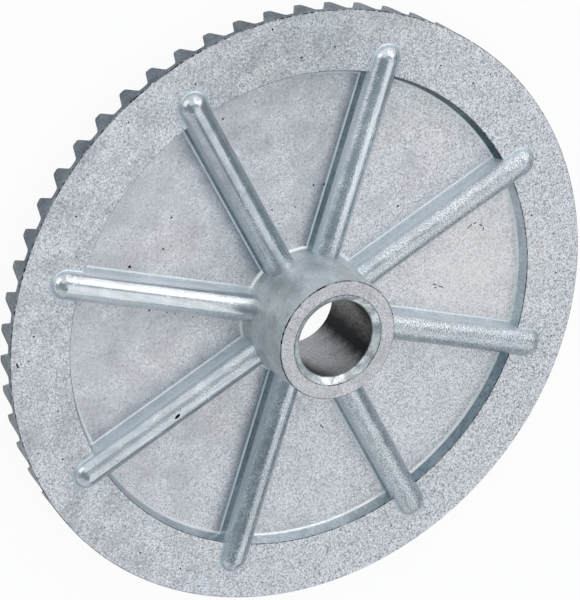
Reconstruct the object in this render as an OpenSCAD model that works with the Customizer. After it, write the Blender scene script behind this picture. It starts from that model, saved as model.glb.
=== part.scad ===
// Straight bevel ring gear, cast in one piece: a toothed rim on a thin web, stiffened by round-topped
// ribs that run out from a plain bored hub. It lies on its teeth, ribbed back up, with its axis on Z.

/* [Rim] */
// Diameter over the rim
rim_d = 156; // [150:1:170]
// Width of the flat ring on the back of the rim
rim_face_w = 15.1; // [14:0.1:18]
// Drop from the back of the rim to the web
web_drop = 3.3; // [2:0.1:4.5]
// Inward run of the sloping wall between rim and web
wall_run = 1.2; // [0.2:0.1:3]

/* [Teeth] */
// Number of teeth
tooth_count = 61; // [50:1:70]
// Teeth on the pinion that drives the wheel, which sets how far the teeth lean
pinion_teeth = 11; // [9:1:16]
// Turn of the teeth against the ribs, in degrees
tooth_turn = 2.3; // [0:0.1:6]
// Thickness of the rim above the tooth gaps at its outer edge
rim_edge_t = 1.5; // [1:0.1:3]
// Tooth height at the outer edge
tooth_h = 4.95; // [4:0.05:5.5]
// Flat width of a tooth tip at the outer edge
tooth_tip_w = 1.8; // [1.2:0.1:2.2]
// Slope of the tooth flanks
flank_angle = 20; // [14.5:0.5:24]
// Solid left between the inner ends of the teeth and the rim's inner edge
toe_wall = 3.1; // [2:0.1:5]
// Inward run of the sloping inner ends of the teeth
toe_run = 1.8; // [0.5:0.1:2.5]

/* [Web and ribs] */
// Thickness of the web
web_t = 3; // [2:0.1:4]
// Number of ribs
rib_count = 8; // [5:1:10]
// Radius of the rounded rib top
rib_top_r = 3.65; // [3:0.05:4.5]
// Height of the rib crest above the back of the rim
rib_crest = 2.9; // [1.5:0.1:3.5]
// Slope of the rib sides
rib_draft = 10; // [2:0.5:14]
// How far the sides start inside the round top, which leaves a faint line along the rib
rib_neck = 0.05; // [0.05:0.01:0.3]
// Distance from the rounded rib end to the rim's outer edge
rib_end_gap = 7.6; // [3:0.1:10]

/* [Hub] */
// Diameter of the hub at its face
hub_face_d = 31; // [28:0.5:36]
// Height of the hub face above the back of the rim
hub_rise = 16.4; // [8:0.1:25]
// Slope of the hub side
hub_draft = 3; // [0.5:0.5:6]
// Radius of the fillet at the foot of the hub
hub_fillet = 1; // [0.5:0.1:2]
// Diameter of the boss round the bore on the toothed side
boss_d = 33; // [28:0.5:40]
// Height of that boss under the web
boss_h = 1.1; // [0.3:0.1:3]

/* [Bore] */
// Diameter of the bore
bore_d = 20; // [16:0.5:22]
// Diameter of the countersunk mouth in the hub face
mouth_d = 23.8; // [22.5:0.1:26]
// Depth of the countersunk mouth
mouth_deep = 1.1; // [0.5:0.1:2]
// Chamfer at the far end of the bore
end_chamfer = 1; // [0.3:0.1:2]

/* [Hidden] */
$fn = 96;

// Heights below are measured from the back of the rim, and the whole part is raised at the end
rim_r = rim_d / 2;
rim_in_r = rim_r - rim_face_w;
bore_r = bore_d / 2;
mouth_r = mouth_d / 2;
web_top = -web_drop;
web_low = web_top - web_t;
boss_low = web_low - boss_h;
hub_foot_r = hub_face_d / 2 + (hub_rise + web_drop) * tan(hub_draft);

// All tooth lines meet in one apex on the axis, as on the cones of a bevel pair
root_z = -rim_edge_t;
tip_z = root_z - tooth_h;
pitch_slope = pinion_teeth / tooth_count;
apex_z = (root_z + tip_z) / 2 - rim_r * pitch_slope;
toe_r = rim_in_r + toe_wall;
gap_end_r = toe_r - toe_run;
toe_tip_z = apex_z + (tip_z - apex_z) * toe_r / rim_r;
stand = -min(toe_tip_z, boss_low);

// Gap between two teeth at the outer edge, carried on past the tips so that it cuts clean
tooth_pitch = 2 * PI * rim_r / tooth_count;
gap_root_w = tooth_pitch - tooth_tip_w - 2 * tooth_h * tan(flank_angle);
gap_deep = 1.2 * tooth_h;
gap_low_w = gap_root_w + 2 * gap_deep * tan(flank_angle);
gap_out = 1.03;

// Rib section: a round top on straight sloping sides, sunk a little into the web
rib_sink = 0.6;
rib_mid_z = rib_crest - rib_top_r;
rib_neck_y = rib_top_r - rib_neck;
rib_low_z = web_top - rib_sink;
rib_low_y = rib_neck_y + (rib_mid_z - rib_low_z) * tan(rib_draft);
rib_start = (bore_r + hub_face_d / 2) / 2;
rib_end = rim_r - rib_end_gap - rib_top_r;

// How far cutting shapes pass the faces they cut
over = 1;

// A point on a gap's edge, at a share of the way from the apex to the outer edge
function gap_point(share, w, z) = [share * rim_r, share * w / 2, apex_z + share * (z - apex_z)];

// The four corners of a gap at that share
function gap_ring(share) = [
  gap_point(share, -gap_root_w, root_z),
  gap_point(share, gap_root_w, root_z),
  gap_point(share, gap_low_w, root_z - gap_deep),
  gap_point(share, -gap_low_w, root_z - gap_deep)
];

// One gap between two teeth, tapering towards the apex
module tooth_gap() {
  polyhedron(
    points = concat(gap_ring(gap_end_r / rim_r), gap_ring(gap_out)),
    faces = [[1, 0, 3, 2], [4, 5, 6, 7], [0, 1, 5, 4], [3, 7, 6, 2], [5, 1, 2, 6], [0, 4, 7, 3]]
  );
}

// Half section of the turned body: hub, web, rim and the blank of the teeth
module body_section() {
  polygon([
    [0, hub_rise],
    [hub_face_d / 2, hub_rise],
    [hub_foot_r, web_top],
    [rim_in_r - wall_run, web_top],
    [rim_in_r, 0],
    [rim_r, 0],
    [rim_r, tip_z],
    [toe_r, toe_tip_z],
    [gap_end_r, web_low],
    [boss_d / 2, web_low],
    [boss_d / 2, boss_low],
    [0, boss_low]
  ]);
  hub_fillet_section();
}

// Rounded corner between the hub side and the web
module hub_fillet_section() {
  reach = hub_fillet * tan((90 - hub_draft) / 2);
  difference() {
    polygon([
      [hub_foot_r, web_top],
      [hub_foot_r + reach, web_top],
      [hub_foot_r + reach, web_top + hub_fillet],
      [hub_foot_r - reach * sin(hub_draft), web_top + reach * cos(hub_draft)]
    ]);
    translate([hub_foot_r + reach, web_top + hub_fillet]) circle(hub_fillet);
  }
}

// Cross-section of a rib
module rib_section() {
  translate([0, rib_mid_z]) circle(rib_top_r);
  polygon([
    [-rib_low_y, rib_low_z],
    [rib_low_y, rib_low_z],
    [rib_neck_y, rib_mid_z],
    [-rib_neck_y, rib_mid_z]
  ]);
}

// One rib along X, with a domed end standing on the rim
module rib() {
  translate([rib_start, 0, 0]) rotate([90, 0, 90]) linear_extrude(rib_end - rib_start) rib_section();
  translate([rib_end, 0, rib_mid_z]) rotate([0, 90, 0]) rotate_extrude() intersection() {
    circle(rib_top_r);
    square(rib_top_r + over);
  }
}

// The bore with its countersunk mouth and far chamfer
module bore_cut() {
  mouth_slope = (mouth_r - bore_r) / mouth_deep;
  rotate_extrude() polygon([
    [0, boss_low - over],
    [bore_r + end_chamfer + over, boss_low - over],
    [bore_r, boss_low + end_chamfer],
    [bore_r, hub_rise - mouth_deep],
    [mouth_r + over * mouth_slope, hub_rise + over],
    [0, hub_rise + over]
  ]);
}

// The whole casting
module ring_gear() {
  color([0.68, 0.7, 0.72]) translate([0, 0, stand]) difference() {
    union() {
      rotate_extrude() body_section();
      for (i = [0:rib_count - 1]) rotate((i + 0.5) * 360 / rib_count) rib();
    }
    bore_cut();
    for (i = [0:tooth_count - 1]) rotate(tooth_turn + (i + 0.5) * 360 / tooth_count) tooth_gap();
  }
}

ring_gear();
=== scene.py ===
# %% [markdown]
# # A cast bevel ring gear
#
# The real thing is one zinc casting: a toothed rim, a thin web, eight ribs and a bored hub. The solid
# that comes from CAD has the right shape, but all its edges are knife sharp and its round faces are
# coarse. A casting has soft corners, a skin with grain, and a few pores. This script models the same
# casting again with Blender's own tools, gives each kind of face its finish, and sets up the picture.

# %% Load the CAD frame
import math
import random

import bmesh
import bpy
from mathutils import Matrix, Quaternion, Vector


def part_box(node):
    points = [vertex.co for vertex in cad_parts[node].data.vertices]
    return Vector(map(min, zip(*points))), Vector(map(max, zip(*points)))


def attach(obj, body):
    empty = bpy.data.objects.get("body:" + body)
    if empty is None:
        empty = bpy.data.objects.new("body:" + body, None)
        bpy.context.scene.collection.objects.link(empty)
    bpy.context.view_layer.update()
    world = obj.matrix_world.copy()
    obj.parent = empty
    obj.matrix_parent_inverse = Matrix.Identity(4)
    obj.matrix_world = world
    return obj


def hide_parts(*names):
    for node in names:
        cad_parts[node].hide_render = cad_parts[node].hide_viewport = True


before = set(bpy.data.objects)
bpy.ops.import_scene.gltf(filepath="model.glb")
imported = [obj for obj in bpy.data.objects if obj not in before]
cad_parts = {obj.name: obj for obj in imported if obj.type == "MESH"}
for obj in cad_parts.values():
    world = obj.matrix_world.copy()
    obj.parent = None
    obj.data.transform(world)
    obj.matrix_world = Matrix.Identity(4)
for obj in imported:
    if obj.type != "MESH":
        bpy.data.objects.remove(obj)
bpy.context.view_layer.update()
MM = 0.001
cad_low, cad_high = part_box("ring_gear")
print("CAD box in mm:", [round(c / MM, 2) for c in (*cad_low, *cad_high)])

# %% [markdown]
# ## The camera first
#
# The gear lies flat on its teeth, and the photograph looks down on its ribbed back with the camera
# turned a good way round its own line of sight. A long lens far away keeps the rim's ellipse almost
# true. Three angles and a distance from the aim point say the same as a matrix, and can be read.

# %% Camera
IMAGE_LONG_SIDE = 600
FOCAL_PIXELS = 2681
AIM_POINT = Vector((-0.65, -6.98, 8.23)) * MM
CAMERA_AZIMUTH = math.radians(-95.22)
CAMERA_ELEVATION = math.radians(54.54)
CAMERA_ROLL = math.radians(130.1)
CAMERA_DISTANCE = 656.1 * MM


def towards(azimuth, elevation):
    """Unit vector from the gear out to a place in the studio."""
    flat = math.cos(elevation)
    return Vector((flat * math.cos(azimuth), flat * math.sin(azimuth), math.sin(elevation)))


camera_data = bpy.data.cameras.new("camera")
camera = bpy.data.objects.new("camera", camera_data)
bpy.context.scene.collection.objects.link(camera)
camera_data.lens = camera_data.sensor_width * FOCAL_PIXELS / IMAGE_LONG_SIDE
camera_data.clip_start = 0.01
camera_side = towards(CAMERA_AZIMUTH, CAMERA_ELEVATION)
camera.location = AIM_POINT + CAMERA_DISTANCE * camera_side
camera.rotation_mode = "QUATERNION"
level = (-camera_side).to_track_quat("-Z", "Y")
camera.rotation_quaternion = level @ Quaternion((0, 0, 1), CAMERA_ROLL)
bpy.context.scene.camera = camera
print("lens", round(camera_data.lens, 1), "mm, camera at", [round(c, 3) for c in camera.location])

# %% [markdown]
# ## Helpers for modelling by operators
#
# Each piece starts as one small primitive. A plane merged to a single point makes a pencil: extruding
# that point again and again draws the section of a turned or cast form. The helpers below select by
# place, because an operator acts on whatever is selected.

# %% Helpers for outlines
SAME_PLACE = 0.001 * MM
MERGE_GAP = 0.0001 * MM
CORNER_STEPS = 4
DOME_STEPS = 28


def alone(obj):
    """Makes obj the only selected and the active object."""
    bpy.ops.object.select_all(action="DESELECT")
    obj.select_set(True)
    bpy.context.view_layer.objects.active = obj


def draw_outline(name, points):
    """A chain of edges through the points, left open in edit mode."""
    bpy.ops.object.select_all(action="DESELECT")
    bpy.ops.mesh.primitive_plane_add(size=MM)
    obj = bpy.context.object
    obj.name = name
    bpy.ops.object.mode_set(mode="EDIT")
    bpy.ops.mesh.select_mode(type="VERT")
    bpy.ops.mesh.select_all(action="SELECT")
    bpy.ops.mesh.merge(type="CENTER")
    bpy.ops.transform.translate(value=points[0])
    for here, there in zip(points, points[1:]):
        step = Vector(there) - Vector(here)
        bpy.ops.mesh.extrude_region_move(TRANSFORM_OT_translate={"value": step})
    return obj


def pick(obj, kind, test):
    """Selects the vertices, edges or faces that pass the test, and nothing else."""
    bpy.ops.mesh.select_mode(type=kind)
    bpy.ops.mesh.select_all(action="DESELECT")
    mesh = bmesh.from_edit_mesh(obj.data)
    for item in {"VERT": mesh.verts, "EDGE": mesh.edges, "FACE": mesh.faces}[kind]:
        item.select_set(test(item))
    mesh.select_flush_mode()
    bmesh.update_edit_mesh(obj.data)


def at(*spots):
    """A test for pick(): is this vertex at one of the spots?"""
    return lambda vert: any((vert.co - Vector(spot)).length < SAME_PLACE for spot in spots)


def round_corner(obj, spot, reach):
    """Rounds a corner of an outline, starting reach before and after it."""
    pick(obj, "VERT", at(spot))
    bpy.ops.mesh.bevel(offset=reach, segments=CORNER_STEPS, affect="VERTICES")


def dome_and_bar(obj, end, back):
    """Spins an outline half round an upright line at X = end, and pulls both cut lines back along X."""
    bpy.ops.mesh.select_all(action="SELECT")
    bpy.ops.mesh.spin(steps=DOME_STEPS, angle=math.pi, center=(end, 0, 0), axis=(0, 0, 1))
    bpy.ops.mesh.select_all(action="SELECT")
    bpy.ops.mesh.remove_doubles(threshold=MERGE_GAP)
    pick(obj, "EDGE", lambda edge: all(abs(v.co.x - end) < SAME_PLACE for v in edge.verts))
    bpy.ops.mesh.extrude_region_move(TRANSFORM_OT_translate={"value": (back - end, 0, 0)})


def tidy_skin(obj):
    """Merges the doubles of obj, turns every face outwards and leaves edit mode."""
    bpy.ops.mesh.select_all(action="SELECT")
    bpy.ops.mesh.remove_doubles(threshold=MERGE_GAP)
    bpy.ops.mesh.normals_make_consistent(inside=False)
    bpy.ops.object.mode_set(mode="OBJECT")


# %% [markdown]
# The next helpers work on whole objects: they turn one, copy it round the axis, join the copies, and add
# them to the body or cut them out of it. The last one counts open edges after each step.

# %% Helpers for whole objects
def turn(obj, angle):
    """Turns obj about the gear's axis and keeps the turn in its mesh."""
    alone(obj)
    obj.rotation_euler[2] = angle
    bpy.ops.object.transform_apply(location=False, rotation=True, scale=False)


def join(objects):
    """Joins the objects into the first of them."""
    bpy.ops.object.select_all(action="DESELECT")
    for obj in objects:
        obj.select_set(True)
    bpy.context.view_layer.objects.active = objects[0]
    bpy.ops.object.join()
    return objects[0]


def ring_of(obj, count, first_angle):
    """Copies obj round the axis, each copy with its own mesh, and joins the copies."""
    copies = []
    for i in range(count):
        copy = bpy.data.objects.new(obj.name, obj.data.copy())
        bpy.context.scene.collection.objects.link(copy)
        turn(copy, first_angle + i * 2 * math.pi / count)
        copies.append(copy)
    bpy.data.objects.remove(obj)
    return join(copies)


def combine(target, tool, operation):
    """Adds tool to target or cuts it out with the solver that keeps a closed skin, then deletes it."""
    alone(target)
    bpy.ops.object.modifier_add(type="BOOLEAN")
    boolean = target.modifiers[-1]
    boolean.operation = operation
    boolean.object = tool
    boolean.solver = "MANIFOLD"
    boolean.material_mode = "TRANSFER"
    bpy.ops.object.modifier_apply(modifier=boolean.name)
    bpy.data.objects.remove(tool)


def measure(obj):
    """Prints faces, open edges and volume, so that a leak shows at once."""
    mesh = bmesh.new()
    mesh.from_mesh(obj.data)
    open_edges = sum(len(edge.link_faces) != 2 for edge in mesh.edges)
    volume = mesh.calc_volume(signed=True) / MM**3 / 1000
    mesh.free()
    print(f"{obj.name}: {len(obj.data.polygons)} faces, {open_edges} open edges, {volume:.2f} cm3")


# %% [markdown]
# ## A skin of grain
#
# Die-cast zinc is never one flat grey. Under a lens it shows fine grains from the mould, short strokes
# and dark creases, ripples like orange peel, streaks where the metal ran outwards, broad clouds where it
# froze at different speeds, and odd dark specks. One side of this casting is coarser than the other.
# Every face has some of this, in its own amounts, so it is one node group: it measures the Object
# coordinates in millimetres and puts out masks. The materials decide what colour, roughness and height
# to make of them. A few helpers come first, so that a sum of nodes reads like a sum.

# %% Node helpers
NOISE_LOW, NOISE_HIGH = 0.3, 0.7


def add_node(tree, kind, sockets=None, **settings):
    """A node with its settings, whose sockets get a value or a link."""
    node = tree.nodes.new(kind)
    for name, value in settings.items():
        setattr(node, name, value)
    for name, value in (sockets or {}).items():
        if isinstance(value, bpy.types.NodeSocket):
            tree.links.new(value, node.inputs[name])
        else:
            node.inputs[name].default_value = value
    return node


def maths(tree, operation, first, second, clamp=False):
    """One sum of two numbers or sockets."""
    pair = {0: first, 1: second}
    return add_node(tree, "ShaderNodeMath", pair, operation=operation, use_clamp=clamp).outputs[0]


def vector_maths(tree, operation, sockets):
    """One sum of vectors, which may put out a vector or a number."""
    return add_node(tree, "ShaderNodeVectorMath", sockets, operation=operation).outputs


def spread(tree, value, low, high, to_low=0.0, to_high=1.0):
    """Stretches the range from low to high over the range from to_low to to_high."""
    ends = {"Value": value, "From Min": low, "From Max": high, "To Min": to_low, "To Max": to_high}
    return add_node(tree, "ShaderNodeMapRange", ends).outputs[0]


def sized_noise(tree, place, size, detail, worm=0.0):
    """Noise whose blobs are about size millimetres across; worm pulls them into short strokes."""
    per_mm = maths(tree, "DIVIDE", 1000.0, size)
    spot = vector_maths(tree, "SCALE", {"Vector": place, "Scale": per_mm})[0]
    sockets = {"Vector": spot, "Scale": 1.0, "Detail": detail, "Distortion": worm}
    noise = add_node(tree, "ShaderNodeTexNoise", sockets)
    return spread(tree, noise.outputs[0], NOISE_LOW, NOISE_HIGH)


# %% [markdown]
# The streaks need coordinates of their own, stretched along the radius. A crease is where the noise
# passes its middle value, which draws thin winding lines; a second noise breaks them into short ones.

# %% Grain node group
COARSE_SIDE = math.radians(105)
COARSE_FROM, COARSE_FULL = -40 * MM, 40 * MM
CREASE_FROM, CREASE_LEAST = -60 * MM, 0.2
CREASE_WIDTH = 0.2
MID_RADIUS = 45 * MM
STREAK_WIDTH = 0.9 * MM
STREAK_LENGTH = 14 * MM
# How many grains wide each form is, and how many clouds wide a patch is
SPECKLE, LINE, RIPPLE, STROKE = 2.3, 4.5, 3.0, 4.0
PATCH = 3.0


def drawn_out(tree, place):
    """Coordinates for streaks that run outwards from the axis, much longer than they are wide."""
    flat = vector_maths(tree, "MULTIPLY", {0: place, 1: (1, 1, 0)})[0]
    radius = vector_maths(tree, "LENGTH", {0: flat})["Value"]
    way = vector_maths(tree, "NORMALIZE", {0: flat})[0]
    wide = vector_maths(tree, "SCALE", {0: way, "Scale": MID_RADIUS / STREAK_WIDTH})[0]
    along = maths(tree, "DIVIDE", radius, STREAK_LENGTH)
    long = add_node(tree, "ShaderNodeCombineXYZ", {"X": along, "Y": along, "Z": along}).outputs[0]
    return vector_maths(tree, "ADD", {0: wide, 1: long})[0]


def make_grain_group():
    """The masks of the cast skin, from a place in metres and two sizes in millimetres."""
    tree = bpy.data.node_groups.new("cast_grain", "ShaderNodeTree")
    for name, kind in (("Place", "Vector"), ("Grain", "Float"), ("Cloud", "Float")):
        tree.interface.new_socket(name, in_out="INPUT", socket_type="NodeSocket" + kind)
    given = tree.nodes.new("NodeGroupInput").outputs
    place, grain = given["Place"], given["Grain"]
    side = (math.cos(COARSE_SIDE), math.sin(COARSE_SIDE), 0)
    across = vector_maths(tree, "DOT_PRODUCT", {0: place, 1: side})["Value"]
    speckle = sized_noise(tree, place, maths(tree, "MULTIPLY", grain, SPECKLE), 3.0)
    line = sized_noise(tree, place, maths(tree, "MULTIPLY", grain, LINE), 1.0, worm=1.5)
    off_line = maths(tree, "ABSOLUTE", maths(tree, "SUBTRACT", line, 0.5), 0.0)
    on_line = spread(tree, off_line, 0.0, CREASE_WIDTH, 1.0, 0.0)
    crease = maths(tree, "MULTIPLY", on_line, spread(tree, speckle, 0.4, 0.6))
    creased = spread(tree, across, CREASE_FROM, COARSE_FULL, CREASE_LEAST)
    drawn = {"Vector": drawn_out(tree, place), "Scale": 1.0, "Detail": 3.0}
    streak = add_node(tree, "ShaderNodeTexNoise", drawn)
    masks = {
        "Fine": sized_noise(tree, place, grain, 2.0),
        "Ripple": sized_noise(tree, place, maths(tree, "MULTIPLY", grain, RIPPLE), 2.0),
        "Stroke": sized_noise(tree, place, maths(tree, "MULTIPLY", grain, STROKE), 2.0, worm=2.5),
        "Broad": sized_noise(tree, place, given["Cloud"], 4.0),
        "Patch": sized_noise(tree, place, maths(tree, "MULTIPLY", given["Cloud"], PATCH), 2.0),
        "Specks": spread(tree, speckle, 0.82, 0.95),
        "Crease": maths(tree, "MULTIPLY", crease, creased),
        "Streak": spread(tree, streak.outputs[0], NOISE_LOW, NOISE_HIGH),
        "Coarse": spread(tree, across, COARSE_FROM, COARSE_FULL),
    }
    result = tree.nodes.new("NodeGroupOutput")
    for name, mask in masks.items():
        tree.interface.new_socket(name, in_out="OUTPUT", socket_type="NodeSocketFloat")
        tree.links.new(mask, result.inputs[name])
    return tree


grain_group = make_grain_group()
print("grain group:", len(grain_group.nodes), "nodes")

# %% [markdown]
# ## One finish for each kind of face
#
# All faces are the same metal, so one function makes them all: two greys mixed by the grain and the
# clouds, warmer in some patches, a roughness that follows the same tone, and a bump from the fine grain,
# with ripples under it on the ribs. What differs is how the face was made, and what light or shade is
# painted into it. The rim's back is sandy, the web is calmer, and both have oxidised to half dull, so
# they are only half metal to the shader. The ribs came shiny out of the mould and their sides are duller;
# the sides that face one way are painted darker as shade, and the toothed edge is painted dark as shade
# for the dark room it mirrors. The mouth of the bore is painted with glints. A foot is a corner painted
# bright as a highlight, a seam is a rounded edge painted nearly black in dashes as shade, and a pore is
# painted nearly black.

# %% Metal finishes
WARM = (1.0, 0.985, 0.96, 1)
CREASE = (0.1, 0.1, 0.115, 1)
CALM, UNEVEN = 0.4, 1.6


def new_metal(name, metallic=1.0):
    """A metal material, with its node tree, its shader and its Object coordinates."""
    material = bpy.data.materials.new(name)
    material.use_nodes = True
    tree = material.node_tree
    shader = tree.nodes["Principled BSDF"]
    shader.inputs["Metallic"].default_value = metallic
    return material, tree, shader, tree.nodes.new("ShaderNodeTexCoord").outputs["Object"]


def add_grain(tree, place, grain, cloud):
    """The grain group's masks; the sizes of grain and cloud are in millimetres."""
    skin = add_node(tree, "ShaderNodeGroup", node_tree=grain_group)
    tree.links.new(place, skin.inputs["Place"])
    skin.inputs["Grain"].default_value = grain
    skin.inputs["Cloud"].default_value = cloud
    return skin.outputs


def mix_colour(tree, share, first, second, blend="MIX"):
    """A share of the second colour laid over the first."""
    colours = {0: share, 6: first, 7: second}
    return add_node(tree, "ShaderNodeMix", colours, data_type="RGBA", blend_type=blend).outputs[2]


def swing(tree, mask, amount):
    """A mask that swings by amount about nought."""
    return maths(tree, "MULTIPLY", maths(tree, "SUBTRACT", mask, 0.5), amount)


def zinc(
    name, dark, light, grain, cloud, sandy, cloudy, rough, bump,
    mottled=0.0, streaky=0.0, creased=0.0, paler=0.0, pitted=0.25, ripple=0.0, metallic=1.0,
):
    """A zinc skin. Sizes and heights are in millimetres; sandy and rough are ranges."""
    material, tree, shader, place = new_metal(name, metallic)
    mask = add_grain(tree, place, grain, cloud)
    uneven = maths(tree, "ADD", mask["Coarse"], mask["Broad"])
    fine = swing(tree, mask["Fine"], spread(tree, uneven, CALM, UNEVEN, *sandy))
    tone = maths(tree, "ADD", fine, 0.5)
    for form, amount in (("Broad", cloudy), ("Stroke", mottled), ("Streak", streaky)):
        if amount:
            tone = maths(tree, "ADD", tone, swing(tree, mask[form], amount))
    if paler:
        tone = maths(tree, "ADD", tone, maths(tree, "MULTIPLY", mask["Coarse"], paler))
    shade = maths(tree, "SUBTRACT", tone, maths(tree, "MULTIPLY", mask["Specks"], pitted), clamp=True)
    grey = mix_colour(tree, shade, (*dark, 1), (*light, 1))
    if creased:
        grey = mix_colour(tree, maths(tree, "MULTIPLY", mask["Crease"], creased), grey, CREASE)
    tree.links.new(mix_colour(tree, mask["Patch"], grey, WARM, "MULTIPLY"), shader.inputs["Base Color"])
    tree.links.new(spread(tree, tone, 0.0, 1.0, rough[1], rough[0]), shader.inputs["Roughness"])
    sand = {"Height": fine, "Distance": bump * MM}
    if ripple:
        peel = {"Height": mask["Ripple"], "Distance": ripple * MM}
        sand["Normal"] = add_node(tree, "ShaderNodeBump", peel).outputs[0]
    tree.links.new(add_node(tree, "ShaderNodeBump", sand).outputs[0], shader.inputs["Normal"])
    return material


# %% [markdown]
# Then comes one call for each kind of face. The two colours are the dark and the light grey of the skin.
# Grain, cloud and bump are in millimetres, sandy goes from the calm side to the coarse side, and rough
# goes from the light grains to the dark ones.

# %% The finishes
finishes = {
    "rim": zinc(
        "rim_skin", (0.425, 0.413, 0.442), (0.985, 0.955, 0.99), grain=0.26, cloud=6, sandy=(0.5, 2.6),
        cloudy=0.35, rough=(0.4, 0.6), bump=0.012, mottled=0.95, creased=0.75, paler=0.3, pitted=0.7,
        metallic=0.55,
    ),
    "web": zinc(
        "web_skin", (0.48, 0.461, 0.488), (0.97, 0.932, 0.962), grain=0.28, cloud=7, sandy=(0.05, 2.4),
        cloudy=0.35, rough=(0.42, 0.6), bump=0.01, mottled=0.45, creased=0.4, paler=0.25, pitted=0.35,
        metallic=0.55,
    ),
    "rib": zinc(
        "rib_skin", (0.42, 0.44, 0.475), (0.80, 0.81, 0.83), grain=0.37, cloud=4, sandy=(0.0, 1.9),
        cloudy=0.4, rough=(0.13, 0.25), bump=0.036, streaky=0.4, ripple=0.008,
    ),
    "wall": zinc(
        "wall_skin", (0.52, 0.585, 0.635), (0.75, 0.825, 0.88), grain=0.8, cloud=6, sandy=(0.4, 0.8),
        cloudy=0.6, rough=(0.3, 0.42), bump=0.006, metallic=0.55,
    ),
    # Painted shade: the rib sides that face one way, and one pocket of the step, get this darker colour
    "shaded_wall": zinc(
        "shaded_wall_skin", (0.23, 0.295, 0.345), (0.44, 0.53, 0.59), grain=0.8, cloud=8, sandy=(0.5, 0.9),
        cloudy=0.8, rough=(0.3, 0.45), bump=0.006, metallic=0.8,
    ),
    # Painted shade: the step in two pockets is painted nearly black
    "deep_shade": zinc(
        "deep_shade_step", (0.05, 0.075, 0.09), (0.17, 0.235, 0.27), grain=0.8, cloud=8, sandy=(0.5, 0.9),
        cloudy=0.8, rough=(0.3, 0.45), bump=0.006,
    ),
    "step": zinc(
        "step_skin", (0.49, 0.56, 0.61), (0.74, 0.81, 0.855), grain=0.8, cloud=6, sandy=(0.4, 0.8),
        cloudy=0.6, rough=(0.22, 0.34), bump=0.006,
    ),
    "hub": zinc(
        "hub_skin", (0.50, 0.55, 0.565), (0.82, 0.87, 0.885), grain=0.9, cloud=6, sandy=(0.3, 0.6),
        cloudy=0.9, rough=(0.48, 0.62), bump=0.008,
    ),
    "hub_face": zinc(
        "hub_face", (0.42, 0.405, 0.42), (0.96, 0.91, 0.925), grain=0.24, cloud=5, sandy=(0.5, 1.0),
        cloudy=0.2, rough=(0.45, 0.6), bump=0.01, mottled=0.5,
    ),
    # Painted glints: the mouth of the bore is painted with patches up to white, where it would catch
    # light
    "mouth": zinc(
        "mouth_glints", (0.42, 0.43, 0.45), (1.0, 1.0, 1.0), grain=0.4, cloud=2.2, sandy=(0.6, 1.0),
        cloudy=1.4, rough=(0.14, 0.3), bump=0.01, metallic=0.5,
    ),
    # Painted shade: the teeth are painted dark, for the dark room their heels mirror instead of the white
    # floor
    "tooth": zinc(
        "tooth_shaded", (0.08, 0.105, 0.13), (0.2, 0.235, 0.27), grain=0.5, cloud=4, sandy=(0.5, 0.9),
        cloudy=0.6, rough=(0.35, 0.5), bump=0.015,
    ),
    # Painted shade: rounded edges of the hub face, rim and step are painted nearly black in dashes
    "seam": zinc(
        "seam_shade", (0.01, 0.01, 0.012), (0.36, 0.38, 0.4), grain=1.0, cloud=5, sandy=(1.4, 2.6),
        cloudy=0.6, rough=(0.4, 0.6), bump=0.02,
    ),
    # Painted highlight: the rounded feet are painted nearly white, so they show a thin bright line
    # whichever way they face
    "foot": zinc(
        "foot_highlight", (0.82, 0.83, 0.84), (1.0, 1.0, 1.0), grain=0.6, cloud=3, sandy=(0.6, 1.2),
        cloudy=0.6, rough=(0.25, 0.4), bump=0.01, metallic=0.5,
    ),
    "nick": zinc(
        "nick_metal", (0.3, 0.31, 0.33), (0.85, 0.87, 0.9), grain=0.4, cloud=3, sandy=(0.8, 1.4),
        cloudy=0.3, rough=(0.3, 0.5), bump=0.02,
    ),
    # Pores, pits and scratches are painted nearly black
    "pore": zinc(
        "pore_black", (0.01, 0.01, 0.012), (0.07, 0.07, 0.075), grain=0.4, cloud=3, sandy=(0.6, 1.0),
        cloudy=0.3, rough=(0.6, 0.8), bump=0.01,
    ),
}
print("finishes:", ", ".join(finishes))

# %% [markdown]
# A soft shadow is painted into the web, in the corner beside a few ribs on the side away from the
# lamps. Turning the coordinates with a rib makes Y the distance from its middle, so the mask is one ramp
# across the rib, times one along it, and the darkest of the ribs wins. A step by height keeps the painted
# shadow off the hidden side of the web.

# %% Painted shadow beside the ribs
# Angle of the rib in degrees, side of the rib, and strength of the painted shadow there
SHADOWED_RIBS = [(-112.5, 1, 0.75), (-157.5, 1, 0.7), (22.5, -1, 0.85), (-22.5, -1, 0.35)]
SHADOW_FROM, SHADOW_TO = 4.3 * MM, 7.8 * MM
SHADOW_FADE = 1.5
SHADOW_INNER, SHADOW_OUTER = 5 * MM, 70 * MM
SHADOW_THINNING = 0.6
SHADOW_FLOOR = 4.0 * MM
# Colour of the painted shadow
SHADOW_COLOUR = (0.2, 0.29, 0.35, 1)


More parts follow.
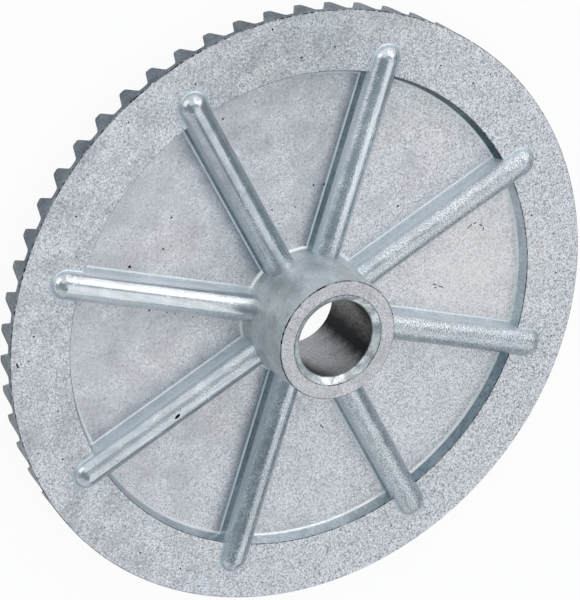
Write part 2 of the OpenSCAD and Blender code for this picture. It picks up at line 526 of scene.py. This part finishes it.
def make_shadow_group():
    """A mask for the painted shadow beside the shadowed ribs."""
    tree = bpy.data.node_groups.new("rib_shadow", "ShaderNodeTree")
    tree.interface.new_socket("Place", in_out="INPUT", socket_type="NodeSocketVector")
    tree.interface.new_socket("Painted shadow", in_out="OUTPUT", socket_type="NodeSocketFloat")
    place = tree.nodes.new("NodeGroupInput").outputs["Place"]
    most = None
    for angle, side, amount in SHADOWED_RIBS:
        ends = {"Vector": place, "Angle": math.radians(-angle)}
        turned = add_node(tree, "ShaderNodeVectorRotate", ends, rotation_type="Z_AXIS").outputs[0]
        spot = add_node(tree, "ShaderNodeSeparateXYZ", {0: turned}).outputs
        out = maths(tree, "MULTIPLY", spot["Y"], side)
        near = maths(tree, "POWER", spread(tree, out, SHADOW_FROM, SHADOW_TO, 1.0, 0.0), SHADOW_FADE)
        ahead = maths(tree, "MULTIPLY", near, maths(tree, "GREATER_THAN", out, 0.0))
        along = spread(tree, spot["X"], SHADOW_INNER, SHADOW_OUTER, amount, SHADOW_THINNING * amount)
        reach = maths(tree, "MULTIPLY", along, maths(tree, "GREATER_THAN", spot["X"], 0.0))
        soft_shadow = maths(tree, "MULTIPLY", ahead, reach)
        most = maths(tree, "MAXIMUM", most, soft_shadow) if most else soft_shadow
    height = add_node(tree, "ShaderNodeSeparateXYZ", {0: place}).outputs["Z"]
    upper = maths(tree, "MULTIPLY", most, maths(tree, "GREATER_THAN", height, SHADOW_FLOOR))
    tree.links.new(upper, tree.nodes.new("NodeGroupOutput").inputs["Painted shadow"])
    return tree


def add_rib_shadow(material):
    """Darkens a material's colour where the painted shadow lies."""
    tree = material.node_tree
    colour = tree.nodes["Principled BSDF"].inputs["Base Color"]
    soft_shadow = add_node(tree, "ShaderNodeGroup", node_tree=make_shadow_group())
    tree.links.new(tree.nodes["Texture Coordinate"].outputs["Object"], soft_shadow.inputs["Place"])
    shadowed_colour = mix_colour(tree, soft_shadow.outputs["Painted shadow"], colour.links[0].from_socket, SHADOW_COLOUR, "MULTIPLY")
    tree.links.new(shadowed_colour, colour)


# Paints a soft shadow into the web beside the ribs
add_rib_shadow(finishes["web"])
print("dust beside", len(SHADOWED_RIBS), "ribs")

# %% [markdown]
# Large soft clouds are laid over the flats: a duller one, which is painted shade where less light
# falls, and a paler, warmer one. Such a cloud does not stop where one face ends, so rim, web and ribs
# share a node group: it turns the distance from a spot into a soft mask and lets noise fray its edge. A
# cloud is placed by its angle and radius.

# %% Painted shade and pale clouds
# Colour of the painted shade clouds
SHADE_CLOUD = (0.77, 0.79, 0.79, 1)
PALE_CLOUD = (1.0, 0.915, 0.865, 1)
FRAY_SIZE = 9.0
FRAY_DEPTH = 0.5
CLOUD_CORE = 1.3
# Angle, radius, reach, colour, share and blend of the clouds on rim and web
FLAT_CLOUDS = [(-140, 72, 44, SHADE_CLOUD, 1.0, "MULTIPLY"), (134, 48, 26, PALE_CLOUD, 0.55, "MIX")]


def make_spot_group():
    """A soft round mask about a spot, with a frayed edge."""
    tree = bpy.data.node_groups.new("soft_spot", "ShaderNodeTree")
    for name, kind in (("Place", "Vector"), ("Spot", "Vector"), ("Reach", "Float")):
        tree.interface.new_socket(name, in_out="INPUT", socket_type="NodeSocket" + kind)
    given = tree.nodes.new("NodeGroupInput").outputs
    far = vector_maths(tree, "DISTANCE", {0: given["Place"], 1: given["Spot"]})["Value"]
    near = maths(tree, "SUBTRACT", CLOUD_CORE, maths(tree, "DIVIDE", far, given["Reach"]))
    fray = maths(tree, "MULTIPLY", sized_noise(tree, given["Place"], FRAY_SIZE, 4.0), FRAY_DEPTH)
    tree.interface.new_socket("Mask", in_out="OUTPUT", socket_type="NodeSocketFloat")
    mask = maths(tree, "SUBTRACT", near, fray, clamp=True)
    tree.links.new(mask, tree.nodes.new("NodeGroupOutput").inputs["Mask"])
    return tree


spot_group = make_spot_group()


def add_cloud(material, angle, radius, reach, colour, share, blend):
    """Lays a share of a colour over a material about a place on the gear; lengths in millimetres."""
    tree = material.node_tree
    base = tree.nodes["Principled BSDF"].inputs["Base Color"]
    spot = add_node(tree, "ShaderNodeGroup", node_tree=spot_group)
    tree.links.new(tree.nodes["Texture Coordinate"].outputs["Object"], spot.inputs["Place"])
    spot.inputs["Spot"].default_value = towards(math.radians(angle), 0) * radius * MM
    spot.inputs["Reach"].default_value = reach * MM
    amount = maths(tree, "MULTIPLY", spot.outputs["Mask"], share)
    tree.links.new(mix_colour(tree, amount, base.links[0].from_socket, colour, blend), base)


for face in ("rim", "web"):
    for cloud in FLAT_CLOUDS:
        add_cloud(finishes[face], *cloud)
print(len(FLAT_CLOUDS), "clouds on rim and web")

# %% [markdown]
# A rib is shiny along its top. Down its round flanks it gets as dull as its sides, and its colour is
# painted paler and bluer there as a painted reflection. A ramp by height does that, in colour, in metal
# and in roughness at once. Two ribs are painted paler than the rest as painted light and two darker as
# painted shade, which is one more cloud for each.

# %% Dull flanks of the ribs, painted paler
FLANK_TOP, FLANK_LOW = 9.8 * MM, 8.0 * MM
# Colour of the painted reflection on the flanks
FLANK_PAINTED_LIGHT = (0.66, 0.73, 0.78, 1)
FLANK_ROUGHNESS = 0.38
FLANK_METALLIC = 0.55
# Colour of the painted light on two ribs
RIB_LIGHT = (0.98, 0.99, 1.0, 1)
# Angle, reach, colour, share and blend of the clouds on the ribs
RIB_CLOUDS = [
    (-154, 28, RIB_LIGHT, 0.6, "MIX"), (-67.5, 30, RIB_LIGHT, 0.45, "MIX"),
    (-112.5, 30, SHADE_CLOUD, 1.0, "MULTIPLY"), (22.5, 30, SHADE_CLOUD, 1.0, "MULTIPLY"),
]


def add_painted_flank(material):
    """Fades a shiny material to a dull one towards the foot of a rib, and paints its colour paler as
    light.
    """
    tree = material.node_tree
    shader = tree.nodes["Principled BSDF"]
    place = tree.nodes["Texture Coordinate"].outputs["Object"]
    height = add_node(tree, "ShaderNodeSeparateXYZ", {0: place}).outputs["Z"]
    low = spread(tree, height, FLANK_TOP, FLANK_LOW)
    colour, rough = shader.inputs["Base Color"], shader.inputs["Roughness"]
    tree.links.new(mix_colour(tree, low, colour.links[0].from_socket, FLANK_PAINTED_LIGHT), colour)
    dull = maths(tree, "MULTIPLY", low, FLANK_ROUGHNESS)
    tree.links.new(maths(tree, "MAXIMUM", rough.links[0].from_socket, dull), rough)
    tree.links.new(spread(tree, low, 0.0, 1.0, 1.0, FLANK_METALLIC), shader.inputs["Metallic"])


add_painted_flank(finishes["rib"])
for angle, reach, colour, share, blend in RIB_CLOUDS:
    add_cloud(finishes["rib"], angle, MID_RADIUS / MM, reach, colour, share, blend)
print("ribs fade from", FLANK_TOP / MM, "to", FLANK_LOW / MM, "mm")

# %% [markdown]
# The bore was turned on a lathe, so fine rings run round it. Most of it is painted almost black as
# shade, a band beside that is painted as half shade with brown specks, and one side is painted light
# where light reaches in. A dot product of the place with the direction of that side gives the mask; a
# wave texture along the axis gives the rings.

# %% Bore finish
LIT_SIDE = math.radians(46)
HALF_SHADE_SIDE = math.radians(142)
METAL = (0.24, 0.25, 0.27, 1), (0.46, 0.475, 0.5, 1)
HALF_SHADE = (0.02, 0.02, 0.022, 1), (0.23, 0.22, 0.222, 1)
BORE_SHADE = (0.008, 0.009, 0.011, 1)
# Distance from the axis, in millimetres, where each side starts and where it is in full
LIT_RANGE, HALF_SHADE_RANGE = (6.5, 10.2), (8.0, 10.5)
BORE_ROUGHNESS = (0.5, 0.34)
RAGGED = 0.8 * MM
RING_SCALE = 420.0
RING_HEIGHT = 0.01 * MM


def beside(tree, place, angle, mask, low, high):
    """A soft, ragged mask for the part of the bore towards an angle."""
    side = (math.cos(angle), math.sin(angle), 0)
    far = vector_maths(tree, "DOT_PRODUCT", {0: place, 1: side})["Value"]
    ragged = maths(tree, "ADD", far, swing(tree, mask, RAGGED))
    ends = {"Value": ragged, "From Min": low * MM, "From Max": high * MM}
    return add_node(tree, "ShaderNodeMapRange", ends, interpolation_type="SMOOTHSTEP").outputs[0]


def make_bore_material():
    """Turned metal on the side painted light, half shade beside it and painted shade elsewhere, with
    rings over all.
    """
    material, tree, shader, place = new_metal("bore_skin")
    mask = add_grain(tree, place, grain=0.36, cloud=2.5)
    rings = {"Vector": place, "Scale": RING_SCALE, "Distortion": 1.5, "Detail": 2.0, "Detail Scale": 3.0}
    ring = add_node(tree, "ShaderNodeTexWave", rings, bands_direction="Z").outputs["Fac"]
    tone = maths(tree, "ADD", mask["Fine"], swing(tree, ring, 0.5), clamp=True)
    metal = mix_colour(tree, tone, *METAL)
    half_shade = mix_colour(tree, mask["Fine"], *HALF_SHADE)
    half_shaded = beside(tree, place, HALF_SHADE_SIDE, mask["Broad"], *HALF_SHADE_RANGE)
    bore_shade = mix_colour(tree, half_shaded, BORE_SHADE, half_shade)
    lit = beside(tree, place, LIT_SIDE, mask["Broad"], *LIT_RANGE)
    # Painted shade, half shade and light across the bore
    tree.links.new(mix_colour(tree, lit, bore_shade, metal), shader.inputs["Base Color"])
    tree.links.new(spread(tree, tone, 0.0, 1.0, *BORE_ROUGHNESS), shader.inputs["Roughness"])
    lathe = {"Height": ring, "Distance": RING_HEIGHT}
    tree.links.new(add_node(tree, "ShaderNodeBump", lathe).outputs[0], shader.inputs["Normal"])
    return material


finishes["bore"] = make_bore_material()
print("bore finish added")

# %% [markdown]
# ## The turned body
#
# Hub, web and rim are one ring-shaped section swung round the axis. It could be a stack of cylinders,
# but then every corner would need its own bevel. Drawing the half section, rounding its corners while
# it is still a flat outline, and spinning it once gives soft cast edges all round for nothing. The
# spin has five steps for each tooth, so that no edge of the body falls on a corner of a tooth.

# %% Sizes of the body
RIB_COUNT = 8
TOOTH_COUNT = 61
TOOTH_TURN = math.radians(2.3)
rim_r = cad_high.x
hub_top = cad_high.z
rim_z = hub_top - 16.4 * MM
web_z = rim_z - 3.3 * MM
under_z = web_z - 3 * MM
boss_z = under_z - 1.1 * MM
bore_r = 10 * MM
mouth_r = 11.9 * MM
hub_r = 15.5 * MM
boss_r = 16.5 * MM
step_top_r = rim_r - 15.1 * MM
toe_r = step_top_r + 3.1 * MM
gap_end_r = toe_r - 1.8 * MM
tip_z = rim_z - 6.45 * MM
hub_foot_r = hub_r + (hub_top - web_z) * math.tan(math.radians(3))

far_edge = (bore_r + MM, 0, boss_z)
far_wall = (bore_r, 0, boss_z + MM)
mouth_wall = (bore_r, 0, hub_top - 1.1 * MM)
mouth_edge = (mouth_r, 0, hub_top)
hub_edge = (hub_r, 0, hub_top)
hub_foot = (hub_foot_r, 0, web_z)
step_foot = (step_top_r - 1.2 * MM, 0, web_z)
step_top = (step_top_r, 0, rim_z)
rim_edge = (rim_r, 0, rim_z)
heel_tip = (rim_r, 0, tip_z)
toe_tip = (toe_r, 0, cad_low.z)
toe_foot = (gap_end_r, 0, under_z)
boss_foot = (boss_r, 0, under_z)
boss_edge = (boss_r, 0, boss_z)
half_section = [
    far_wall, mouth_wall, mouth_edge, hub_edge, hub_foot, step_foot, step_top, rim_edge,
    heel_tip, toe_tip, toe_foot, boss_foot, boss_edge, far_edge,
]
print("half section of", len(half_section), "corners")

# %% [markdown]
# Each corner gets its own rounding, in millimetres. The tips stay sharp for now: cutting the gaps between
# the teeth shapes them.

# %% Body
ROUNDINGS = [
    (mouth_wall, 0.35), (mouth_edge, 0.35), (hub_edge, 0.35), (hub_foot, 1.0), (step_foot, 0.6),
    (step_top, 0.3), (rim_edge, 0.3), (toe_foot, 0.8), (boss_foot, 0.6), (boss_edge, 0.3),
]
SPIN_STEPS = 5 * TOOTH_COUNT

gear = draw_outline("ring_gear_casting", half_section)
pick(gear, "VERT", at(far_wall, far_edge))
bpy.ops.mesh.edge_face_add()
for corner, reach in ROUNDINGS:
    round_corner(gear, corner, reach * MM)
bpy.ops.mesh.select_all(action="SELECT")
bpy.ops.mesh.spin(steps=SPIN_STEPS, angle=2 * math.pi, center=(0, 0, 0), axis=(0, 0, 1))
tidy_skin(gear)
turn(gear, TOOTH_TURN)
measure(gear)

# %% [markdown]
# The faces of the body know their finish by where they are: how far out, how high, and which way they
# look. Doing this before anything is joined keeps each rule short.

# %% Finishes of the body
FINISH_ORDER = list(finishes)
POCKET_ANGLE = 2 * math.pi / RIB_COUNT
# Pockets between ribs are counted from +X; the step is painted darker in these, as painted shade
STEP_FINISH = {4: "deep_shade", -4: "deep_shade", 2: "shaded_wall"}
MOUTH_LOW = hub_top - 1.4 * MM
FACE_LOW = hub_top - 0.36 * MM
FOOT_TOP = web_z + 0.6 * MM
WEB_LOW = web_z - MM
EDGE = 0.3 * MM
HAIR = 0.05 * MM


def wear_finishes(obj):
    """Gives obj every finish as a material slot, in one fixed order."""
    for finish in FINISH_ORDER:
        obj.data.materials.append(finishes[finish])


def body_finish(centre, normal):
    """The finish of a face of the turned body."""
    radius, height, up = centre.xy.length, centre.z, normal.z
    if radius < mouth_r - 0.2 * MM and height > MOUTH_LOW:
        return "mouth"
    if radius < bore_r + HAIR:
        return "bore"
    # The rounded edge of the hub face takes the painted shade of the seam
    if height > FACE_LOW:
        return "seam" if up < 0.97 else "hub_face"
    # Rounded feet take the painted highlight
    if web_z < height < FOOT_TOP and 0.4 < up < 0.9:
        return "foot"
    if radius < hub_foot_r + EDGE and height > web_z:
        return "hub"
    if radius < step_top_r - 1.3 * MM and height > WEB_LOW:
        return "web"
    # The rounded edges of rim and step take the painted shade of the seam
    if 0.1 < up < 0.85 and abs(height - rim_z) < EDGE:
        return "seam"
    if radius < step_top_r - HAIR and height > WEB_LOW:
        pocket = round(math.atan2(centre.y, centre.x) / POCKET_ANGLE)
        return STEP_FINISH.get(pocket, "step")
    if height > rim_z - EDGE:
        return "rim"
    return "tooth" if radius > gap_end_r else "web"


def paint(obj, rule):
    """Sets the material of every face of obj by a rule on its centre and normal."""
    for face in obj.data.polygons:
        face.material_index = FINISH_ORDER.index(rule(face.center, face.normal))


wear_finishes(gear)
paint(gear, body_finish)
print("body faces painted:", len(gear.data.polygons))

# %% [markdown]
# ## Ribs
#
# A rib is a round bar let into the web, with sides that slope so that it leaves the mould, a small
# rounded foot, and a ball of an end that stands on the rim. Half of its section is drawn once. Spinning
# that half through a half turn about the rib's end makes the domed end, and pulling the two cut lines
# back to the hub makes the bar. So dome and bar share their edge and no seam can open between them.

# %% Ribs
rib_r = 3.65 * MM
rib_mid_z = rim_z - 0.75 * MM
rib_end = rim_r - 7.6 * MM - rib_r
rib_start = (bore_r + hub_r) / 2
NECK_ANGLE = math.radians(-3.75)
SIDE_SLOPE = math.tan(math.radians(10))
ARC_STEPS = 14
FOOT_SINK = 0.02 * MM
FOOT_ROUND = 0.45 * MM
FLANGE_WIDTH = 1.2 * MM
FLANGE_DEPTH = 0.6 * MM

arc = [math.pi / 2 + (NECK_ANGLE - math.pi / 2) * i / ARC_STEPS for i in range(ARC_STEPS + 1)]
half_rib = [(rib_end, rib_r * math.cos(a), rib_mid_z + rib_r * math.sin(a)) for a in arc]
neck_y, neck_z = half_rib[-1][1:]
foot_z = web_z - FOOT_SINK
foot_y = neck_y + (neck_z - foot_z) * SIDE_SLOPE
rib_foot = (rib_end, foot_y, foot_z)
flange_y = foot_y + FLANGE_WIDTH
half_rib += [rib_foot, (rib_end, flange_y, foot_z), (rib_end, flange_y, foot_z - FLANGE_DEPTH)]

rib = draw_outline("rib", half_rib)
round_corner(rib, rib_foot, FOOT_ROUND)
dome_and_bar(rib, rib_end, rib_start)
hub_side = rib_start + SAME_PLACE
pick(rib, "EDGE", lambda edge: edge.is_boundary and all(v.co.x < hub_side for v in edge.verts))
bpy.ops.mesh.edge_face_add()
pick(rib, "EDGE", lambda edge: edge.is_boundary)
bpy.ops.mesh.edge_face_add()
tidy_skin(rib)
measure(rib)

# %% [markdown]
# The sides of the ribs that look one way are painted darker as shade, and the others are paler. Copies
# of the rib are painted when they stand in their places, because only then a side knows which way it
# looks.

# %% Eight ribs
SHADED_SIDE_FACING = towards(math.radians(-45), 0)
SHADED_SIDE_SHARE = 0.7


def rib_finish(centre, normal):
    """The round top is shiny, the foot painted bright as a highlight, and the sides facing one way
    painted darker as shade.
    """
    if centre.z > neck_z:
        return "rib"
    if 0.35 < normal.z < 0.85:
        return "foot"
    return "shaded_wall" if normal.dot(SHADED_SIDE_FACING) > SHADED_SIDE_SHARE else "wall"


ribs = ring_of(rib, RIB_COUNT, math.pi / RIB_COUNT)
wear_finishes(ribs)
paint(ribs, rib_finish)
combine(gear, ribs, "UNION")
measure(gear)

# %% [markdown]
# Where a rib stands on the rim, the mould had a small rounded corner, which shows as a light line round
# the dome. It is a collar with a hollow rounded side: drawn as a half section, spun round the dome and
# pulled back as far as the step. It sinks a hair into rim and rib, so that the union has no faces that
# only just touch.

# %% Collars at the rib ends
collar_r = 0.7 * MM
SINK = 0.015 * MM
HOLLOW_STEPS = 6
reach_r = rib_r + collar_r
hollow_z = rim_z + collar_r - SINK
hollow_y = math.sqrt(reach_r**2 - (hollow_z - rib_mid_z) ** 2) - SINK
last_angle = math.atan2(rib_mid_z - hollow_z, -hollow_y)
bend = last_angle + math.pi / 2
hollow_arc = [-math.pi / 2 + bend * i / HOLLOW_STEPS for i in range(HOLLOW_STEPS + 1)]
collar_side = [
    (rib_end, hollow_y + collar_r * math.cos(a), hollow_z + collar_r * math.sin(a)) for a in hollow_arc
]
inner_y = rib_r - 0.8 * MM
collar_low = rim_z - 0.4 * MM
collar_back = step_top_r + 0.3 * MM
collar_section = [(rib_end, inner_y, collar_low), (rib_end, hollow_y, collar_low)] + collar_side
collar_section.append((rib_end, inner_y, collar_side[-1][2]))
collar = draw_outline("collar", collar_section)
pick(collar, "VERT", at(collar_section[0], collar_section[-1]))
bpy.ops.mesh.edge_face_add()
dome_and_bar(collar, rib_end, collar_back)
for half in (1, -1):
    pick(collar, "EDGE", lambda edge: edge.is_boundary and half * edge.verts[0].co.y > 0)
    bpy.ops.mesh.edge_face_add()
tidy_skin(collar)
measure(collar)
wear_finishes(collar)
paint(collar, lambda centre, normal: "rib")
collars = ring_of(collar, RIB_COUNT, math.pi / RIB_COUNT)
combine(gear, collars, "UNION")
measure(gear)

# %% [markdown]
# ## Teeth
#
# On a bevel gear every line of a tooth runs to one point on the axis, so the teeth get smaller towards
# the middle. It is easier to model the gap between two teeth than a tooth: its outline is drawn at the
# outer edge, extruded once and scaled towards that point. Cutting sixty-one copies leaves the teeth.

# %% Tooth gaps
tooth_h = 4.95 * MM
root_z = tip_z + tooth_h
tip_w = 1.8 * MM
FLANK_SLOPE = math.tan(math.radians(20))
PINION_TEETH = 11
tip_ease = 0.45 * MM
tip_back = 0.6 * tip_ease
GAP_OVERSHOOT = 1.03
ROOT_ROUND, TIP_ROUND = 0.55 * MM, 0.3 * MM
pitch = 2 * math.pi * rim_r / TOOTH_COUNT
apex = Vector((0, 0, (root_z + tip_z) / 2 - rim_r * PINION_TEETH / TOOTH_COUNT))
tip_y = (pitch - tip_w) / 2
root_y = tip_y - tooth_h * FLANK_SLOPE
ease_y = tip_y - tip_ease * FLANK_SLOPE
below_z = tip_z - 1.2 * MM

one_side = [
    (root_y, root_z), (ease_y, tip_z + tip_ease), (tip_y + tip_back, tip_z), (tip_y + tip_back, below_z),
]
right_side = [(rim_r, y, z) for y, z in one_side]
left_side = [(rim_r, -y, z) for y, z in one_side]
gap = draw_outline("tooth_gap", right_side + left_side[::-1])
pick(gap, "VERT", at(right_side[0], left_side[0]))
bpy.ops.mesh.edge_face_add()
for corner in (right_side[0], left_side[0]):
    round_corner(gap, corner, ROOT_ROUND)
for corner in (right_side[1], left_side[1]):
    round_corner(gap, corner, TIP_ROUND)
bpy.ops.mesh.select_all(action="SELECT")
bpy.ops.transform.resize(value=(GAP_OVERSHOOT,) * 3, center_override=apex)
bpy.ops.mesh.edge_face_add()
bpy.ops.mesh.extrude_region_move()
bpy.ops.transform.resize(value=(gap_end_r / rim_r / GAP_OVERSHOOT,) * 3, center_override=apex)
tidy_skin(gap)
measure(gap)
wear_finishes(gap)
paint(gap, lambda centre, normal: "tooth")
gaps = ring_of(gap, TOOTH_COUNT, TOOTH_TURN + math.pi / TOOTH_COUNT)
combine(gear, gaps, "DIFFERENCE")
measure(gear)

# %% [markdown]
# ## Pores, scratches and nicks
#
# Gas left small pores in the casting, and knocks left scratches on the web and nicks in the rim's edge.
# Each one is a small stretched ball that is cut out of the surface. The ones that stand out are placed
# one by one, by their radius and angle on the gear; the small change is scattered, with a fixed seed.

# %% Flaws
LIFT = 0.13
SCRATCH_WIDTH, SCRATCH_DEPTH = 0.3, 0.14
# Radius, angle and size of each pore in the web
WEB_PORES = [
    (46.6, -91.4, 0.6), (43.8, -81.8, 0.6), (50.1, -73.6, 0.9), (57.8, -118.1, 0.6), (32.9, -144.7, 0.6),
    (33.0, -149.7, 0.6), (29.4, -123.3, 0.5), (28.0, -135.4, 0.5), (35.1, 171.4, 0.7), (41.7, -60.7, 0.6),
    (36.9, -60.0, 0.5), (34.7, -59.1, 0.45), (29.7, -57.3, 0.45),
]
# Radius and angle of both ends of each scratch
SCRATCHES = [
    ((33.3, 49.8), (35.2, 51.2)), ((48.3, 146.3), (50.1, 147.0)), ((50.3, 147.0), (51.4, 146.7)),
    ((51.8, 146.0), (52.8, 144.9)), ((52.8, 144.6), (52.7, 143.4)), ((36.8, 130.4), (38.3, 129.3)),
    ((38.5, 129.1), (40.3, 127.8)), ((37.3, 128.4), (38.3, 128.3)),
]
crest_z = rib_mid_z + rib_r
balls = []


def on_gear(radius, angle, height):
    """A point by radius in millimetres, angle in degrees and height."""
    angle = math.radians(angle)
    return Vector((radius * MM * math.cos(angle), radius * MM * math.sin(angle), height))


def press_ball(place, length, width, depth, heading=0.0):
    """A stretched ball just off a place, so that no ring of it lies in the face; sizes in millimetres."""
    bpy.ops.object.select_all(action="DESELECT")
    bpy.ops.mesh.primitive_uv_sphere_add(segments=10, ring_count=6, radius=0.5 * MM)
    ball = bpy.context.object
    ball.name = "flaw"
    ball.scale = (length, width, 2 * depth)
    ball.rotation_euler[2] = heading
    ball.location = place + Vector((0, 0, LIFT * depth * MM))
    bpy.ops.object.transform_apply(location=True, rotation=True, scale=True)
    balls.append(ball)


for radius, angle, size in WEB_PORES:
    press_ball(on_gear(radius, angle, web_z), size, 0.8 * size, 0.6 * size, math.radians(angle))
for start, end in SCRATCHES:
    start, end = on_gear(*start, web_z), on_gear(*end, web_z)
    along = end - start
    heading = math.atan2(along.y, along.x)
    press_ball((start + end) / 2, along.length / MM, SCRATCH_WIDTH, SCRATCH_DEPTH, heading)
# A long pore on the crest of one rib, and a nick near the rim's edge
press_ball(on_gear(41.1, -22.7, crest_z), 1.8, 0.9, 0.7, math.radians(-10))
press_ball(on_gear(76.2, -51.2, rim_z), 1.6, 0.5, 0.3, math.radians(60))
print(len(balls), "flaws placed one by one")

# %% [markdown]
# Small nicks follow the whole edge of the rim, and small pits lie on its back wherever no rib end is.

# %% Scattered flaws
dice = random.Random(61)
NICK_COUNT = 61
NICK_SIZES = (0.4, 0.9)
NICK_OUT = 0.07
PIT_COUNT = 48
PIT_SIZES = (0.3, 0.55)
PIT_RADII = (64.5, 76.5)
NICKS_FROM = 77 * MM


def clear_of_ribs(place):
    """Is this place on the rim outside the rounded rib ends?"""
    ends = [rib_end * towards(math.pi * (2 * i + 1) / RIB_COUNT, 0) for i in range(RIB_COUNT)]
    return all((place.xy - end.xy).length > reach_r + MM for end in ends)


for i in range(NICK_COUNT):
    angle = (i + 0.7 * dice.random()) * 360 / NICK_COUNT
    size = dice.uniform(*NICK_SIZES)
    place = on_gear(rim_r / MM + NICK_OUT, angle, rim_z)
    press_ball(place, size, 1.5 * size, 0.4 * size, math.radians(angle))
for i in range(PIT_COUNT):
    angle = (i + 0.8 * dice.random()) * 360 / PIT_COUNT
    size = dice.uniform(*PIT_SIZES)
    place = on_gear(dice.uniform(*PIT_RADII), angle, rim_z)
    if clear_of_ribs(place):
        press_ball(place, size, size, 0.5 * size)
flaws = join(balls)
wear_finishes(flaws)
paint(flaws, lambda centre, normal: "pore" if centre.xy.length < NICKS_FROM else "nick")
combine(gear, flaws, "DIFFERENCE")
measure(gear)

# %% [markdown]
# ## Smooth and sharp
#
# Round faces should shade as round and corners as corners. Smoothing by angle keeps a corner only where
# two faces meet at more than the angle given, and weighted normals make the large flats stay flat up to
# their rounded edges. The rims of pores and nicks are shallower than that angle, so they are marked
# sharp by their finish; smoothed, they would pull long dark triangles over the flats.

# %% Shading
SMOOTH_ANGLE = math.radians(32)
flaw_slots = [FINISH_ORDER.index("pore"), FINISH_ORDER.index("nick")]


def rims_a_flaw(edge):
    """Does this edge lie between a flaw and the sound skin?"""
    return len({face.material_index in flaw_slots for face in edge.link_faces}) == 2


alone(gear)
bpy.ops.object.shade_smooth_by_angle(angle=SMOOTH_ANGLE)
bpy.ops.object.mode_set(mode="EDIT")
pick(gear, "EDGE", rims_a_flaw)
bpy.ops.mesh.mark_sharp()
bpy.ops.object.mode_set(mode="OBJECT")
bpy.ops.object.modifier_add(type="WEIGHTED_NORMAL")
gear.modifiers[-1].keep_sharp = True
bpy.ops.object.modifier_apply(modifier=gear.modifiers[-1].name)
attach(gear, "root")
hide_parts("ring_gear")
print("casting rides on root")

# %% [markdown]
# ## Studio
#
# The photograph has a clean white ground, bright boxes at the side and in front, and pale walls behind
# and round about. A metal shows what stands round it: each band of light along a rib is one of them.
# So boxes and walls are real area lamps, each placed by the direction that a rib mirrors, and the world
# is a dim blue room that fills the dark bands. The floor is pale and keeps the shadow, and is lifted to
# white where the camera or a reflection looks at it.

# %% Floor and world
FLOOR_SIZE = 8
FLOOR_GREY = (0.92, 0.92, 0.92, 1)
FLOOR_ROUGHNESS = 0.9
WHITE_SHARE = 0.94
ROOM_BLUE = (0.72, 0.9, 1.0, 1)
ROOM_STRENGTH = 0.38


def make_floor_material():
    """A pale floor that is lifted to white where it is seen, and still shows the shadow."""
    material = bpy.data.materials.new("pale_floor")
    material.use_nodes = True
    tree = material.node_tree
    shader = tree.nodes["Principled BSDF"]
    shader.inputs["Base Color"].default_value = FLOOR_GREY
    shader.inputs["Roughness"].default_value = FLOOR_ROUGHNESS
    white = add_node(tree, "ShaderNodeEmission", {"Color": (1, 1, 1, 1), "Strength": 1.0})
    path = tree.nodes.new("ShaderNodeLightPath").outputs
    seen = maths(tree, "MAXIMUM", path["Is Camera Ray"], path["Is Glossy Ray"])
    seen = maths(tree, "MAXIMUM", seen, path["Is Transmission Ray"])
    blend = {0: maths(tree, "MULTIPLY", seen, WHITE_SHARE), 1: shader.outputs[0], 2: white.outputs[0]}
    mixed = add_node(tree, "ShaderNodeMixShader", blend).outputs[0]
    tree.links.new(mixed, tree.nodes["Material Output"].inputs["Surface"])
    return material


bpy.ops.object.select_all(action="DESELECT")
bpy.ops.mesh.primitive_plane_add(size=FLOOR_SIZE, location=(0, 0, 0))
floor = bpy.context.object
floor.name = "floor"
floor.data.materials.append(make_floor_material())

world = bpy.data.worlds.new("dim_room")
world.use_nodes = True
room = world.node_tree.nodes["Background"].inputs
room["Color"].default_value = ROOM_BLUE
room["Strength"].default_value = ROOM_STRENGTH
bpy.context.scene.world = world
print("floor", FLOOR_SIZE, "m wide, room strength", ROOM_STRENGTH)

# %% [markdown]
# A lamp's power is worked out from how bright its face looks, so a larger box keeps its brightness.

# %% Lamps
def soft_box(name, azimuth, elevation, distance, width, height, brightness, tilt=0):
    """A rectangular area lamp that looks at the gear, in degrees and metres; brightness 1 is white."""
    lamp = bpy.data.lights.new(name, "AREA")
    lamp.shape = "RECTANGLE"
    lamp.size, lamp.size_y = width, height
    lamp.energy = brightness * math.pi * width * height
    box = bpy.data.objects.new(name, lamp)
    bpy.context.scene.collection.objects.link(box)
    side = towards(math.radians(azimuth), math.radians(elevation))
    box.location = distance * side
    box.rotation_mode = "QUATERNION"
    upright = (-side).to_track_quat("-Z", "Y")
    box.rotation_quaternion = upright @ Quaternion((0, 0, 1), math.radians(tilt))
    print(name, "energy", round(lamp.energy, 2), "W")


# Azimuth, elevation, distance, width, height and brightness of each lamp
soft_box("side_wall", -178, 28, 0.75, 0.82, 0.82, 0.88)
soft_box("side_box", 174, 40, 0.6, 0.3, 0.3, 0.6)
soft_box("near_wall", -126, 30, 0.75, 0.8, 0.8, 0.65)
soft_box("front_box", -84, 8, 0.6, 0.4, 0.4, 1.2)
soft_box("low_wall", -38, 4, 0.75, 0.75, 0.75, 0.12)
soft_box("far_box", 14, 12, 0.7, 1.0, 1.0, 0.34)
soft_box("top_box", -145, 76, 0.8, 0.45, 0.45, 0.3)
soft_box("back_wall", 86, 57, 1.0, 1.08, 0.8, 0.69, tilt=45)
bpy.context.scene.view_settings.view_transform = "Standard"
